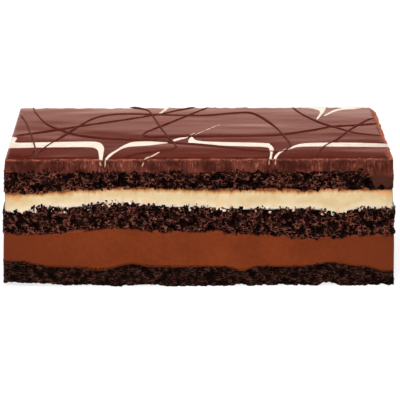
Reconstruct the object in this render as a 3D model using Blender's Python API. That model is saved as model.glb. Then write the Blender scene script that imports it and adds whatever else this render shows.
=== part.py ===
"""A tuxedo cake: a bar-shaped layer cake with four cut sides.

From the bottom up it is a dense chocolate base, chocolate mousse, a crumbly chocolate sponge,
vanilla cream, a second sponge and a poured ganache, which is feathered with white chocolate and
drizzled with fine threads of chocolate. +X runs along the bar, its front is at -Y and +Z is up.
"""
import math

import bmesh
import bpy
from mathutils import Vector, noise

MM = 0.001

# The bar, as its top edges give it
LENGTH = 240 * MM
DEPTH = 115 * MM
TOP_ROUND = 1.2 * MM          # the ganache's poured edge turns in to it by this much
END_FLARE = 3.6 * MM          # each end stands further out at the bottom by this much
FRONT_FLARE = 1.3 * MM        # so do the front and the back
CORNER = 0.8 * MM             # the upright edges are worn off by this much
PITCH = 4.0 * MM              # spacing of the points round the cut sides
SMOOTH_PITCH = 8.0 * MM       # the same round the ganache
GAP = 0.3 * MM                # between any two pieces
MERGE = 0.002 * MM            # points closer than this are one

# Each surface between two layers: its mean height, then its swells as (place along the bar,
# half width, rise), all in millimetres
SURFACES = {
    "underside": (0.0, ()),
    "base_top": (13.5, ((-112, 15, 4.0), (-62, 8, -2.3), (-41, 7, 2.2), (26, 5, -3.0),
                        (81, 10, 2.6), (116, 9, -4.2))),
    "mousse_top": (35.8, ((-52, 24, 4.2), (4, 16, 1.3), (72, 32, -3.4), (116, 8, -1.0))),
    "middle_top": (51.8, ((-50, 26, 4.8), (-110, 6, -1.8), (-92, 9, 1.9), (-2, 14, 1.6),
                          (85, 8, -3.8))),
    "cream_top": (64.2, ((-110, 22, -2.0), (-38, 28, 1.4), (64, 9, -1.2))),
    "sponge_top": (76.0, ((-116, 14, -1.2), (-60, 12, 0.3), (20, 20, -0.4), (95, 12, 0.4))),
    "top": (84.5, ((-90, 26, 0.3), (-20, 30, -0.2), (60, 24, 0.3))),
}
BACK_SHARE = 0.8              # the back's swells are the front's turned end for end, times this
LEVEL_END = 112 * MM          # past here a surface runs level to the end of the bar

# Where the base's lower edge is lifted off the table: place along the bar, half width, rise
FOOT_LIFTS = ((-112, 22, 2.8), (-68, 14, 1.1), (79, 3.5, 1.9), (50, 30, 0.5), (112, 9, 0.5))
FOOT_INSET = 9.0 * MM         # width of the lifted rim; inside it the base lies flat

# Layers: lower and upper surface, rows of points up the side, how far the cut side stands out
# at the front and back, depth of its coarse and of its fine relief in millimetres, material
LAYERS = {
    "base_sponge": ("underside", "base_top", 3, -0.1, 0.6, 0.5, "dense_base"),
    "chocolate_mousse": ("base_top", "mousse_top", 2, 0.0, 0.35, 0.05, "mousse"),
    "middle_sponge": ("mousse_top", "middle_top", 4, 0.7, 1.0, 0.9, "sponge"),
    "vanilla_cream": ("middle_top", "cream_top", 2, -0.4, 0.4, 0.15, "cream"),
    "top_sponge": ("cream_top", "sponge_top", 3, 0.0, 0.9, 0.9, "sponge"),
    "ganache": ("sponge_top", "top", 3, 0.0, 0.3, 0.1, "ganache"),
}
COARSE = 9.0 * MM             # wavelength of the coarse relief
FINE = 4.6 * MM               # wavelength of the fine relief

# Drizzle: threads squeezed onto the set ganache, as routes along and across the bar in mm
THREAD_RADIUS = 0.62 * MM
THREAD_LIFT = 0.15 * MM       # height of a thread's middle above the ganache
THREAD_STEP = 8.0 * MM
THREADS = (
    ((-112, 58), (-109, 44), (-100, 19), (-89, 4), (-79, -6), (-63, -13), (-44, -17), (-29, -19),
     (-13, -25), (0, -28), (14, -33), (34, -41), (47, -44), (53, -43), (59, -34)),
    ((-101, -56), (-101, -45), (-96, -30), (-88, -10), (-79, 12), (-71, 29), (-61, 39), (-46, 42),
     (-27, 40), (3, 38), (22, 43), (34, 45), (40, 39), (45, 28), (51, 10), (57, -18), (59, -34)),
    ((-118, -8), (-103, 0), (-88, 8), (-71, 17), (-53, 26), (-40, 33), (-24, 42), (-14, 50),
     (-2, 58)),
    ((-119, 40), (-114, 22), (-109, -3), (-105, -26), (-102, -47), (-102, -56)),
    ((-117, -51), (-107, -52), (-104, -39)),
    ((-46, 58), (-41, 57), (-34, 51), (-31, 41), (-26, 17), (-20, -10), (-15, -28), (-15, -36),
     (-19, -39), (-38, -47), (-48, -56)),
    ((7, 57), (-3, 43), (-15, 26), (-28, 8), (-35, -3), (-35, -9), (-30, -11), (-1, -10),
     (32, -10), (50, -8), (73, 2), (88, 11), (104, 14), (117, 17)),
    ((65, 57), (70, 41), (80, 22), (92, 7), (104, -5), (118, -10)),
    ((72, -56), (79, -35), (89, -18), (98, 1), (108, 18), (115, 28)),
)

# White chocolate feathering: each stroke's back edge and front edge, along and across in mm.
# The strokes end beyond the cut sides, which trim them.
FEATHER_DEEP = 1.2 * MM
FEATHERS = {
    "white_feather_1": (
        ((-126, -11), (-118.5, -11.5), (-117, -14), (-117.5, -20), (-115, -23.5), (-93, -22.5),
         (-75, -21.5), (-66.5, -22), (-63, -24.5), (-61, -30), (-60, -38), (-60.2, -62)),
        ((-126, -35), (-108.5, -34), (-86, -33), (-70, -33), (-66, -35), (-64, -39), (-63, -45),
         (-61.8, -62))),
    "white_feather_2": (
        ((-59.2, -62), (-56.5, -47), (-53.5, -39), (-50, -31), (-46.5, -25.5), (-42, -22),
         (-32, -21.5), (-20, -23.8)),
        ((-58, -62), (-54, -49), (-51, -41.5), (-47.5, -35), (-43, -32), (-32, -29.5),
         (-20, -24.6))),
    "white_feather_3": (
        ((-17, -19), (-13, -14.5), (-7.5, -12)),
        ((-15.5, -20.5), (-11.5, -17.5), (-7, -13))),
    "white_feather_4": (
        ((-6.5, -23.5), (-6.5, -19.5), (-5.5, -14.5), (-4, -12), (-2, -18.5), (2, -21.5),
         (14.5, -23.5), (42, -26), (45.5, -29.5), (47.3, -38), (46, -48), (44.7, -62)),
        ((-6, -24.5), (2.5, -28.2), (20, -31), (42, -34), (44.6, -40), (44.5, -51), (43.2, -62))),
    "white_feather_5": (
        ((45.7, -62), (48, -51), (52.5, -41.5), (57.5, -35.5), (65, -28), (74, -26), (100, -26),
         (130, -30)),
        ((47, -62), (50, -50), (53.5, -43), (58.5, -38), (66, -33.5), (94, -33.5), (130, -35))),
    "white_feather_6": (
        ((71, 64), (89, 64), (87.5, 55), (85, 44), (80, 28)),
        ((69, 57), (78, 54), (82.5, 49), (82.5, 42), (79.2, 28.5))),
    "white_feather_7": (
        ((115, 57), (112, 64), (104, 64), (98, 54.5), (92.5, 50), (88.5, 43), (84.5, 36)),
        ((114.5, 51), (101.5, 51), (97, 49.5), (92.3, 45.5), (88.2, 40), (85.2, 35.2))),
    "white_feather_8": (
        ((-19, 64), (-24, 49), (-26, 43.5)),
        ((-17, 64), (-22, 49), (-25, 43))),
}
OUTLINE_STEP = 4.2 * MM

# Base colour as linear red, green, blue, and roughness
FINISHES = {
    "dense_base": ((0.017, 0.008, 0.005), 0.75),
    "mousse": ((0.205, 0.042, 0.012), 0.6),
    "sponge": ((0.036, 0.013, 0.008), 0.85),
    "cream": ((0.84, 0.62, 0.37), 0.55),
    "ganache": ((0.105, 0.032, 0.021), 0.3),
    "white_chocolate": ((0.91, 0.82, 0.72), 0.35),
}


def clear_scene():
    for item in list(bpy.data.objects):
        bpy.data.objects.remove(item, do_unlink=True)


def new_collection(name):
    group = bpy.data.collections.new(name)
    bpy.context.scene.collection.children.link(group)
    return group


def finish(name):
    colour, roughness = FINISHES[name]
    made = bpy.data.materials.get(name) or bpy.data.materials.new(name)
    made.use_nodes = True
    shader = made.node_tree.nodes["Principled BSDF"]
    shader.inputs["Base Color"].default_value = (*colour, 1.0)
    shader.inputs["Roughness"].default_value = roughness
    shader.inputs["Metallic"].default_value = 0.0
    return made


def new_object(name, mesh, group, material):
    made = bpy.data.objects.new(name, mesh)
    mesh.materials.append(finish(material))
    group.objects.link(made)
    return made


def height(surface, x, y):
    """Height of a surface between layers, ruled straight from the front edge to the back."""
    mean, swells = SURFACES[surface]
    place = max(-LEVEL_END, min(LEVEL_END, x)) / MM
    front = sum(rise * math.exp(-((place - middle) / width) ** 2)
                for middle, width, rise in swells)
    back = sum(rise * math.exp(-((-place - middle) / width) ** 2)
               for middle, width, rise in swells)
    share = y / DEPTH + 0.5
    return (mean + (1 - share) * front + share * BACK_SHARE * back) * MM


def foot_lift(x):
    """How far the base's lower edge stands off the table at a place along the bar."""
    return MM * sum(rise * math.exp(-((x / MM - middle) / width) ** 2)
                    for middle, width, rise in FOOT_LIFTS)


def relief(place, coarse, fine):
    """How far a cut side stands out or in at a place, from two scales of noise."""
    broad = noise.noise(place / COARSE)
    small = noise.noise(place / FINE + Vector((7.3, 1.9, 4.1)))
    return (coarse * broad + fine * small) * MM


def divide(bm, axis, cuts, at_ends_only=False):
    """Cuts every edge that runs along an axis into cuts + 1 lengths."""
    chosen = []
    for edge in bm.edges:
        run = (edge.verts[1].co - edge.verts[0].co).normalized()
        at_end = abs(abs(edge.verts[0].co.x) - LENGTH / 2) < GAP
        if abs(run[axis]) > 0.999 and (at_end or not at_ends_only):
            chosen.append(edge)
    bmesh.ops.subdivide_edges(bm, edges=chosen, cuts=cuts, use_grid_fill=True)


def block(rows, pitch, footed):
    """A box of unit height whose sides are gridded and whose top and bottom are cross strips.

    A footed box has a foot set inside the rim of its underside, which can then be lifted."""
    bm = bmesh.new()
    bmesh.ops.create_cube(bm, size=1.0)
    bmesh.ops.scale(bm, vec=(LENGTH, DEPTH, 1.0), verts=bm.verts)
    bmesh.ops.translate(bm, vec=(0.0, 0.0, 0.5), verts=bm.verts)
    if footed:
        under = [face for face in bm.faces if face.normal.z < -0.99]
        bmesh.ops.inset_region(bm, faces=under, thickness=FOOT_INSET, use_even_offset=True)
    divide(bm, 0, round(LENGTH / pitch) - 1)
    divide(bm, 2, rows - 1)
    divide(bm, 1, round(DEPTH / pitch) - 1, at_ends_only=True)
    return bm


def split_strips(bm):
    """Halves each cross strip from its front left to its back right, alike in every layer."""
    for face in list(bm.faces):
        corners = sorted(face.verts, key=lambda vert: vert.co.x + vert.co.y)
        reach = corners[-1].co.y - corners[0].co.y
        if len(corners) == 4 and abs(face.normal.z) > 0.99 and reach > DEPTH / 2:
            bmesh.utils.face_split(face, corners[0], corners[-1])


def flared(co):
    """Moves a point out by the cake's flare, which grows from nothing at the top."""
    low = 1 - co.z / (SURFACES["top"][0] * MM)
    spread_x = 1 + (END_FLARE * low + TOP_ROUND) / (LENGTH / 2)
    spread_y = 1 + (FRONT_FLARE * low + TOP_ROUND) / (DEPTH / 2)
    return Vector((co.x * spread_x, co.y * spread_y, co.z))


def layer(name, group):
    """One layer of the cake, from its two surfaces and the relief of its cut sides."""
    lower, upper, rows, outset, coarse, fine, material = LAYERS[name]
    bm = block(rows, SMOOTH_PITCH if upper == "top" else PITCH, lower == "underside")
    split_strips(bm)
    for vert in bm.verts:
        x, y, share = vert.co
        at_end = abs(x) > LENGTH / 2 - GAP
        at_side = abs(y) > DEPTH / 2 - GAP
        low = height(lower, x, y) + GAP / 2
        high = height(upper, x, y) - GAP / 2
        if lower == "underside":
            low = foot_lift(x) if at_end or at_side else 0.0
        if upper == "top":
            high = height(upper, x, y)
        place = flared(Vector((x, y, low + share * (high - low))))
        push = outset * MM + relief(place, coarse, fine)
        if upper == "top":
            push -= TOP_ROUND * share ** 6
        if at_end:
            place.x += math.copysign(1.0, x) * (push - (CORNER if at_side else 0.0))
        if at_side:
            place.y += math.copysign(1.0, y) * (push - (CORNER if at_end else 0.0))
        vert.co = place
    mesh = bpy.data.meshes.new(name)
    bm.normal_update()
    bm.to_mesh(mesh)
    bm.free()
    return new_object(name, mesh, group, material)


def smooth_route(points, step):
    """Points about a step apart on a smooth curve through a route's own points."""
    ends = [Vector(points[0]) * 2 - Vector(points[1]), *map(Vector, points),
            Vector(points[-1]) * 2 - Vector(points[-2])]
    made = []
    for before, start, end, after in zip(ends, ends[1:], ends[2:], ends[3:]):
        count = max(1, round((end - start).length / step))
        for index in range(count):
            t = index / count
            made.append(0.5 * (2 * start + (end - before) * t
                               + (2 * before - 5 * start + 4 * end - after) * t ** 2
                               + (3 * start - before - 3 * end + after) * t ** 3))
    return made + [Vector(points[-1])]


def curve_mesh(name, points, dimensions, cyclic, depth=0.0, extrude=0.0):
    """The mesh of a poly curve: a round tube of a radius, or a filled outline with thickness."""
    curve = bpy.data.curves.new(name, "CURVE")
    curve.dimensions = dimensions
    if dimensions == "2D":
        curve.fill_mode = "BOTH"
    curve.extrude = extrude
    curve.bevel_depth = depth
    curve.bevel_resolution = 1
    curve.use_fill_caps = True
    spline = curve.splines.new("POLY")
    spline.points.add(len(points) - 1)
    for point, co in zip(spline.points, points):
        point.co = (*co, 1.0)
    spline.use_cyclic_u = cyclic
    carrier = bpy.data.objects.new(name, curve)
    bpy.context.scene.collection.objects.link(carrier)
    bpy.context.view_layer.update()
    mesh = bpy.data.meshes.new_from_object(
        carrier.evaluated_get(bpy.context.evaluated_depsgraph_get()))
    bpy.data.objects.remove(carrier, do_unlink=True)
    bm = bmesh.new()
    bm.from_mesh(mesh)
    bmesh.ops.remove_doubles(bm, verts=bm.verts, dist=MERGE)
    bmesh.ops.recalc_face_normals(bm, faces=bm.faces)
    bm.to_mesh(mesh)
    bm.free()
    return mesh


def thread(index, route, group):
    """One drizzled thread, lying on the ganache."""
    path = smooth_route([Vector(point) * MM for point in route], THREAD_STEP)
    points = [(x, y, height("top", x, y) + THREAD_LIFT) for x, y in path]
    mesh = curve_mesh(f"thread_{index}", points, "3D", False, depth=THREAD_RADIUS)
    return new_object(f"thread_{index}", mesh, group, "ganache")


def widened(outline, amount):
    """A closed outline moved outwards by an amount, square to its own run."""
    area = sum(a.x * b.y - b.x * a.y for a, b in zip(outline, outline[1:] + outline[:1]))
    turn = math.copysign(1.0, area)
    made = []
    for before, point, after in zip(outline[-1:] + outline[:-1], outline,
                                    outline[1:] + outline[:1]):
        run = (after - before).normalized()
        made.append(point + turn * amount * Vector((run.y, -run.x)))
    return made


def stroke_block(name, edges, margin, group):
    """An upright block over one feather stroke, from the stroke's underside to above the cake."""
    back, front = (smooth_route([Vector(point) * MM for point in edge], OUTLINE_STEP)
                   for edge in edges)
    outline = widened(back + front[::-1], margin) if margin else back + front[::-1]
    rise = SURFACES["top"][0] * MM
    thick = FEATHER_DEEP + margin + 4 * THREAD_RADIUS
    mesh = curve_mesh(name, [(x, y, 0.0) for x, y in outline], "2D", True, extrude=thick / 2)
    for vert in mesh.vertices:
        vert.co.z += rise - FEATHER_DEEP - margin + thick / 2
    return new_object(name, mesh, group, "white_chocolate")


def boolean(target, operation, tool=None, tools=None):
    """Applies one Boolean with an object or with a whole collection."""
    modifier = target.modifiers.new(operation.lower(), "BOOLEAN")
    modifier.operation = operation
    modifier.solver = "EXACT"
    if tools:
        modifier.operand_type = "COLLECTION"
        modifier.collection = tools
    else:
        modifier.object = tool
    bpy.context.view_layer.update()
    shaped = bpy.data.meshes.new_from_object(
        target.evaluated_get(bpy.context.evaluated_depsgraph_get()))
    target.modifiers.clear()
    target.data = shaped
    keep_largest(shaped)


def keep_largest(mesh):
    """Drops the loose scraps that a Boolean leaves, and merges its doubled points."""
    bm = bmesh.new()
    bm.from_mesh(mesh)
    bmesh.ops.remove_doubles(bm, verts=bm.verts, dist=MERGE)
    bmesh.ops.dissolve_degenerate(bm, edges=bm.edges, dist=MERGE)
    left = set(bm.verts)
    bodies = []
    while left:
        body = {left.pop()}
        front = list(body)
        while front:
            reached = [edge.other_vert(vert) for vert in front for edge in vert.link_edges]
            front = [vert for vert in dict.fromkeys(reached) if vert in left]
            left.difference_update(front)
            body.update(front)
        bodies.append(body)
    bodies.sort(key=len)
    for scrap in bodies[:-1]:
        bmesh.ops.delete(bm, geom=list(scrap), context="VERTS")
    bmesh.ops.triangulate(bm, faces=bm.faces)
    bm.to_mesh(mesh)
    bm.free()


def remove_all(group):
    for item in list(group.objects):
        bpy.data.objects.remove(item, do_unlink=True)
    bpy.data.collections.remove(group)


def decorate(ganache, group):
    """Fuses the threads to the ganache, then parts the white strokes from it."""
    threads = new_collection("drizzle")
    for index, route in enumerate(THREADS, start=1):
        thread(index, route, threads)
    boolean(ganache, "UNION", tools=threads)
    remove_all(threads)
    pockets = new_collection("cutters")
    for name, edges in FEATHERS.items():
        stroke = stroke_block(name, edges, 0.0, group)
        boolean(stroke, "INTERSECT", tool=ganache)
        stroke_block(f"{name}_pocket", edges, GAP, pockets)
    boolean(ganache, "DIFFERENCE", tools=pockets)
    remove_all(pockets)


def settle(group):
    """Brings the middle of the cake's underside to the origin."""
    corners = [vert.co for item in group.objects for vert in item.data.vertices]
    low = Vector(min(co[axis] for co in corners) for axis in range(3))
    high = Vector(max(co[axis] for co in corners) for axis in range(3))
    shift = Vector((-(low.x + high.x) / 2, -(low.y + high.y) / 2, -low.z))
    for item in group.objects:
        for vert in item.data.vertices:
            vert.co += shift


def main():
    clear_scene()
    cake = new_collection("tuxedo_cake")
    layers = {name: layer(name, cake) for name in LAYERS}
    decorate(layers["ganache"], cake)
    settle(cake)
    for item in cake.objects:
        item.data.shade_smooth()
        item.data.set_sharp_from_angle(angle=math.radians(40))


main()
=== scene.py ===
import math
import random
import statistics

import bmesh
import bpy
from mathutils import Euler, Matrix, Vector, kdtree, noise


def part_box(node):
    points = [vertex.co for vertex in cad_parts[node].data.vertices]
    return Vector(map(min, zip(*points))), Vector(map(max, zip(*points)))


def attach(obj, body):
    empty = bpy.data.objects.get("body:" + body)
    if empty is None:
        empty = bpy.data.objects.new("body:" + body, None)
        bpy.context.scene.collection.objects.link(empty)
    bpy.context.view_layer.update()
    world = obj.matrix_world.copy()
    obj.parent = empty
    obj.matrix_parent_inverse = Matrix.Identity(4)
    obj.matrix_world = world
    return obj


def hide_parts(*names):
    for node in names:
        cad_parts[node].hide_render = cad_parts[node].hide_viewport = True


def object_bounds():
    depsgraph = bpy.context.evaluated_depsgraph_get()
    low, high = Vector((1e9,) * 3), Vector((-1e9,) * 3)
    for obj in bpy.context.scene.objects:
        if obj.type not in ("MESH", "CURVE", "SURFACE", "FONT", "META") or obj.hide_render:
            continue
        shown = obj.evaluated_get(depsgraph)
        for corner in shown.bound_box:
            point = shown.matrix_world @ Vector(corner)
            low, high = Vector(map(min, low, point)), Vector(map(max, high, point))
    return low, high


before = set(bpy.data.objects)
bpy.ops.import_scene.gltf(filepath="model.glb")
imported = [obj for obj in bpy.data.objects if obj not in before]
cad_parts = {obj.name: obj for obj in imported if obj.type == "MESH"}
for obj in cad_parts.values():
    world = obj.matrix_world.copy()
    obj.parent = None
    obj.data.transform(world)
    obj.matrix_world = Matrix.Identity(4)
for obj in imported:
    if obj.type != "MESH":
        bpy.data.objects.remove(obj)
cad_box = [list(corner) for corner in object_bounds()]
MM = 0.001

# Base sponge
# The bottom layer is a dense, moist chocolate sponge that the mousse was poured on. It was cut
# with the rest of the cake, so its sides show a close crumb, torn a little at the lower edge.

BOX_MARGIN = 0.02 * MM
# A face is a top or an underside where its normal is this near to the vertical.
LEVEL = 0.6
# Crumbs lie on steep faces alone, and only this far from the middle of the cake or farther.
STEEP = 0.8
NEAR_END = 117 * MM
NEAR_SIDE = 55 * MM
CRUMB_KINDS = 9
# Sizes of the finish's grain, of the cell walls on which it paints highlights with their bend and
# patches, and of its mottling.
CRUMB_GRAIN = 0.7 * MM
CRUMB_CELL = 1.0 * MM
CRUMB_CELL_BEND = 1.5 * MM
CRUMB_WALL_PATCH = 4 * MM
CRUMB_MOTTLE = 5 * MM


def make_active(piece):
    bpy.ops.object.select_all(action="DESELECT")
    piece.select_set(True)
    bpy.context.view_layer.objects.active = piece


def pick_faces(piece, wanted):
    """Selects, in edit mode, the faces that pass a test."""
    shape = bmesh.from_edit_mesh(piece.data)
    for face in shape.faces:
        face.select_set(wanted(face))
    bmesh.update_edit_mesh(piece.data)


def cut_layer(node, name, cuts, reach_up, reach_down):
    """A layer's mesh from its solid: joined, let into its neighbours, and divided at its sides."""
    piece = bpy.data.objects.new(name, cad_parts[node].data.copy())
    bpy.context.scene.collection.objects.link(piece)
    piece.data.materials.clear()
    make_active(piece)
    bpy.ops.mesh.customdata_custom_splitnormals_clear()
    bpy.context.tool_settings.mesh_select_mode = (False, False, True)
    bpy.ops.object.mode_set(mode="EDIT")
    bpy.ops.mesh.select_all(action="SELECT")
    bpy.ops.mesh.remove_doubles(threshold=0.001 * MM)
    bpy.ops.mesh.tris_convert_to_quads(
        face_threshold=math.radians(35), shape_threshold=math.radians(85))
    pick_faces(piece, lambda face: face.normal.z > LEVEL)
    bpy.ops.transform.translate(value=(0, 0, reach_up))
    pick_faces(piece, lambda face: face.normal.z < -LEVEL)
    bpy.ops.transform.translate(value=(0, 0, -reach_down))
    pick_faces(piece, lambda face: abs(face.normal.z) < LEVEL)
    bpy.ops.mesh.subdivide(number_cuts=cuts)
    bpy.ops.object.mode_set(mode="OBJECT")
    return piece


def mark(piece, name, weight):
    """Weighs a piece's points, by a function of their place and normal, for carving."""
    group = piece.vertex_groups.new(name=name)
    for point in piece.data.vertices:
        group.add([point.index], weight(point.co, point.normal), "REPLACE")


def carve(piece, kind, size, depth, direction="NORMAL", middle=0.5, stops=(), group="",
          stretch=None, **looks):
    """Moves a piece's surface by a texture whose features have a size, and applies it."""
    texture = bpy.data.textures.new("carving", kind)
    texture.noise_scale = size
    for key, value in looks.items():
        setattr(texture, key, value)
    if stops:
        texture.use_color_ramp = True
        for element, (place, value) in zip(texture.color_ramp.elements, stops):
            element.position = place
            element.color = (value, value, value, 1)
    modifier = piece.modifiers.new("carving", "DISPLACE")
    modifier.texture = texture
    modifier.texture_coords = "LOCAL"
    modifier.direction = direction
    modifier.strength = depth
    modifier.mid_level = middle
    modifier.vertex_group = group
    if stretch:
        bpy.ops.object.empty_add()
        guide = bpy.context.object
        guide.scale = stretch
        bpy.context.view_layer.update()
        modifier.texture_coords = "OBJECT"
        modifier.texture_coords_object = guide
    make_active(piece)
    bpy.ops.object.modifier_apply(modifier=modifier.name)
    bpy.data.textures.remove(texture)
    if stretch:
        bpy.data.objects.remove(guide)


def keep_inside(piece):
    """Holds a piece's points just inside the solid cake's box."""
    low = [value + BOX_MARGIN for value in cad_box[0]]
    high = [value - BOX_MARGIN for value in cad_box[1]]
    low[2] = cad_box[0][2]
    for point in piece.data.vertices:
        for axis in range(3):
            point.co[axis] = max(low[axis], min(high[axis], point.co[axis]))


def serve(piece, slot, *nodes, smooth=True):
    """Ends a piece: its shading, its body and the solids that it stands for; its slot is not used.
    """
    keep_inside(piece)
    if smooth:
        piece.data.shade_smooth()
    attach(piece, "root")
    if nodes:
        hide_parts(*nodes)


def paint(red, green, blue):
    """A colour as a screen shows it, 0 to 255, made linear for a shader."""
    def linear(value):
        value /= 255
        return value / 12.92 if value <= 0.04045 else ((value + 0.055) / 1.055) ** 2.4
    return (linear(red), linear(green), linear(blue), 1)


class Wire:
    """A value in a material's nodes. Sums on it add Math nodes; node() adds any other kind."""

    def __init__(self, tree, socket=None):
        self.tree = tree
        self.socket = socket

    def node(self, kind, settings, values, output=0):
        made = self.tree.nodes.new(kind)
        for key, value in settings.items():
            setattr(made, key, value)
        for key, value in values.items():
            if isinstance(value, Wire):
                self.tree.links.new(value.socket, made.inputs[key])
            else:
                made.inputs[key].default_value = value
        return Wire(self.tree, made.outputs[output])

    def sum(self, operation, first, second):
        return self.node("ShaderNodeMath", {"operation": operation}, {0: first, 1: second})

    def __add__(self, other):
        return self.sum("ADD", self, other)

    def __sub__(self, other):
        return self.sum("SUBTRACT", self, other)

    def __rsub__(self, other):
        return self.sum("SUBTRACT", other, self)

    def __mul__(self, other):
        return self.sum("MULTIPLY", self, other)

    def __truediv__(self, other):
        return self.sum("DIVIDE", self, other)

    def __abs__(self):
        return self.sum("ABSOLUTE", self, 0.0)

    __radd__ = __add__
    __rmul__ = __mul__

    def most(self, other):
        return self.sum("MAXIMUM", self, other)

    def step(self, low, high):
        """0 below low, 1 above high and smooth between them; the other way if low is higher."""
        return self.node("ShaderNodeMapRange", {"interpolation_type": "SMOOTHSTEP"},
                         {"Value": self, "From Min": low, "From Max": high})

    def stretched(self, x, y, z):
        """A place whose pattern comes out longer by these amounts along the axes."""
        return self.node("ShaderNodeVectorMath", {"operation": "MULTIPLY"},
                         {0: self, 1: (1 / x, 1 / y, 1 / z)})

    def part(self, axis):
        return self.node("ShaderNodeSeparateXYZ", {}, {0: self}, axis)

    def noted(self, name):
        """A value that note() wrote at the points of the piece."""
        return self.node("ShaderNodeAttribute", {"attribute_name": name}, {}, 2)

    def clouds(self, size, detail=3.0):
        """Noise with features of a size, from a place; about 0.5 in the mean."""
        return self.node("ShaderNodeTexNoise", {},
                         {"Vector": self, "Scale": 1 / size, "Detail": detail})

    def walls(self, size, bend):
        """The distance from the walls between cells of a size, which are bent by some length."""
        drift = self.node("ShaderNodeTexNoise", {}, {"Vector": self, "Scale": 1 / size}, 1)
        push = self.node("ShaderNodeVectorMath", {"operation": "MULTIPLY"},
                         {0: drift, 1: (bend, bend, bend)})
        bent = self.node("ShaderNodeVectorMath", {"operation": "ADD"}, {0: self, 1: push})
        return self.node("ShaderNodeTexVoronoi", {"feature": "DISTANCE_TO_EDGE"},
                         {"Vector": bent, "Scale": 1 / size})

    def blend(self, first, second):
        """The first colour where this value is 0, and the second where it is 1."""
        return self.node("ShaderNodeMix", {"data_type": "RGBA"},
                         {0: self, 6: first, 7: second}, 2)


def new_finish(name, **constants):
    """A named material; gives its material, its shader's inputs and the place on the piece."""
    material = bpy.data.materials.new(name)
    material.use_nodes = True
    tree = material.node_tree
    shader = tree.nodes["Principled BSDF"]
    for key, value in constants.items():
        shader.inputs[key.replace("_", " ")].default_value = value
    place = Wire(tree).node("ShaderNodeTexCoord", {}, {}, "Object")
    return material, shader, place


def dress(piece, material, shader, colour, roughness, height, lift):
    """Wires a finish's colour, roughness and fine relief, and puts it on a piece."""
    tree = material.node_tree
    tree.links.new(colour.socket, shader.inputs["Base Color"])
    if isinstance(roughness, Wire):
        tree.links.new(roughness.socket, shader.inputs["Roughness"])
    else:
        shader.inputs["Roughness"].default_value = roughness
    bump = colour.node("ShaderNodeBump", {}, {"Height": height, "Distance": lift})
    tree.links.new(bump.socket, shader.inputs["Normal"])
    piece.data.materials.append(material)


def note(piece, name, values):
    """Writes a value at each point of a piece, for its finish to read."""
    attribute = piece.data.attributes.new(name, "FLOAT", "POINT")
    attribute.data.foreach_set("value", values)


def crumb_finish_and_shade(name, dark, middle, light, gloss, wide, high):
    """Chocolate sponge: near black in its cells and hollows by painted shade, paler on their walls
    by painted highlights, and paler on loose crumbs.
    """
    material, shader, place = new_finish(name, Specular_IOR_Level=gloss,
                                         Specular_Tint=(1.0, 0.62, 0.5, 1))
    # The stand, how far the tearing moved each point out, gives painted shade: hollows go dark and
    # lumps go pale.
    stand = place.noted("stand")
    grain = place.clouds(CRUMB_GRAIN, detail=2.0)
    mottle = place.clouds(CRUMB_MOTTLE, detail=2.0)
    # The cell walls are painted pale in patches as highlights, where their edges would catch the
    # light.
    wall = place.stretched(wide, wide, high).walls(CRUMB_CELL, CRUMB_CELL_BEND).step(0.09, 0.02)
    wall = wall * place.clouds(CRUMB_WALL_PATCH, detail=1.0).step(0.34, 0.54)
    # Grain and mottle are the sponge's own tone; the stand and the walls add painted shade and
    # painted highlight.
    tone = stand * 0.7 + wall * 2.9 + (grain - 0.5) * 2.4 + (mottle - 0.5) * 3.4 - 0.5
    colour = tone.step(-0.4, 0.9).blend(dark, middle)
    colour = tone.step(0.9, 2.4).blend(colour, light)
    roughness = 0.75 - 0.5 * grain
    relief = grain * 0.7 + wall
    return material, shader, colour, roughness, relief


def from_rim(piece, sign):
    """How far each point lies below the upper rim of its side, or with -1 above the lower one."""
    rim = {index for face in piece.data.polygons if face.normal.z * sign > LEVEL
           for index in face.vertices}
    tree = kdtree.KDTree(len(rim))
    for index in rim:
        spot = piece.data.vertices[index].co
        tree.insert((spot.x, spot.y, 0), index)
    tree.balance()
    gaps = []
    for point in piece.data.vertices:
        nearest = tree.find((point.co.x, point.co.y, 0))[1]
        gaps.append((piece.data.vertices[nearest].co.z - point.co.z) * sign / MM)
    return gaps


def tear(piece, hollow, deep, cell, rough):
    """Tears a sponge's side into hollows, walls and grain; gives the distances from its rims."""
    rims = from_rim(piece, 1), from_rim(piece, -1)
    starts = [point.co.copy() for point in piece.data.vertices]
    ways = [point.normal.copy() for point in piece.data.vertices]
    carve(piece, "CLOUDS", hollow, -deep, middle=0.0, stops=((0.5, 0), (0.7, 1)), noise_depth=2)
    carve(piece, "VORONOI", cell, -2.2 * rough, middle=0.2, weight_1=-1.0, weight_2=1.0)
    carve(piece, "CLOUDS", 0.9 * cell, 1.2 * rough, "RGB_TO_XYZ", cloud_type="COLOR")
    carve(piece, "CLOUDS", 0.9 * MM, 0.6 * rough, noise_type="HARD_NOISE")
    # The stand is kept for the finish, which paints shade in the hollows and highlights on the lumps
    # from it.
    stands = [(point.co - start).dot(way)
              for point, start, way in zip(piece.data.vertices, starts, ways)]
    middle = statistics.mean(stands)
    spread = statistics.pstdev(stands)
    note(piece, "stand", [(value - middle) / spread for value in stands])
    return rims


def crumb_shapes(kinds):
    """Points and faces of a few crumbs: each a ball of twenty faces, knocked out of round."""
    shapes = []
    for kind in range(kinds):
        bpy.ops.mesh.primitive_ico_sphere_add(subdivisions=1, radius=0.5)
        bpy.ops.object.mode_set(mode="EDIT")
        bpy.ops.mesh.select_all(action="SELECT")
        bpy.ops.transform.vertex_random(offset=0.2, seed=kind)
        bpy.ops.object.mode_set(mode="OBJECT")
        crumb = bpy.context.object
        shapes.append(([point.co.copy() for point in crumb.data.vertices],
                       [tuple(face.vertices) for face in crumb.data.polygons]))
        bpy.data.objects.remove(crumb)
    return shapes


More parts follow.
